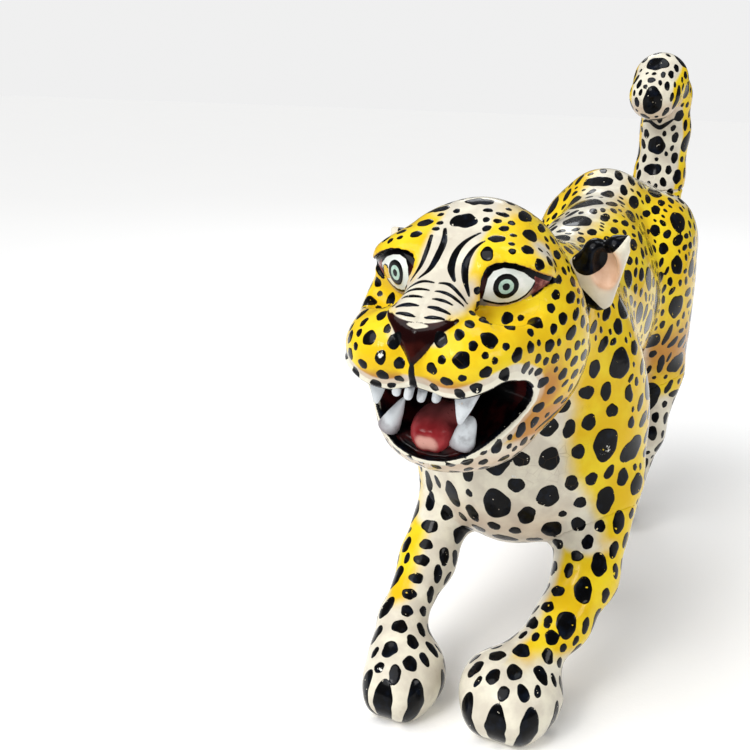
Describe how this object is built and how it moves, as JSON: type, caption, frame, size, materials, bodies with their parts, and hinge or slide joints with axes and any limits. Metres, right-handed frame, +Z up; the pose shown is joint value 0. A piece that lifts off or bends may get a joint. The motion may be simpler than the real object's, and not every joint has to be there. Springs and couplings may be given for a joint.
{
  "type": "carved big cat figure",
  "caption": "Standing carved wooden big cat with an open toothed mouth, set-in eyes, plug-in ears and an upright curled plug-in tail; a free-standing painted ornament.",
  "frame": {"origin": "centre of the overall box, on the surface the feet stand on", "axes": "+Z up, the animal faces -Y, its left side is +X"},
  "size_m": [0.1454, 0.5724, 0.365],
  "materials": {
    "coat": "painted yellow and cream with black spots, gloss varnish",
    "bare_wood": "bare turned wood",
    "eye": "painted, gloss varnish",
    "tongue": "painted, gloss varnish",
    "tooth": "painted, gloss varnish"
  },
  "bodies": {
    "figure": {"torso": "coat", "head": "coat", "foreleg_left": "coat", "foreleg_right": "coat", "hindleg_left": "coat", "hindleg_right": "coat", "neck_dowels": "bare_wood", "foreleg_left_dowels": "bare_wood", "foreleg_right_dowels": "bare_wood", "hindleg_left_dowels": "bare_wood", "hindleg_right_dowels": "bare_wood", "eye_left": "eye", "eye_right": "eye", "tongue": "tongue", "upper_canine_left": "tooth", "upper_canine_right": "tooth", "lower_canine_left": "tooth", "lower_canine_right": "tooth", "upper_incisor_1": "tooth", "upper_incisor_2": "tooth", "upper_incisor_3": "tooth", "upper_incisor_4": "tooth"},
    "tail": {"tail": "coat", "tail_peg": "bare_wood"},
    "ear_left": {"ear_left": "coat", "ear_left_peg": "bare_wood"},
    "ear_right": {"ear_right": "coat", "ear_right_peg": "bare_wood"}
  },
  "joints": [
    {"name": "tail_pull", "type": "slide", "parent": "figure", "child": "tail", "axis": [0, 0, 1], "range_m": [0, 0.04]},
    {"name": "ear_left_pull", "type": "slide", "parent": "figure", "child": "ear_left", "axis": [0.848, 0, 0.5299], "range_m": [0, 0.025]},
    {"name": "ear_right_pull", "type": "slide", "parent": "figure", "child": "ear_right", "axis": [-0.848, 0, 0.5299], "range_m": [0, 0.025]}
  ]
}
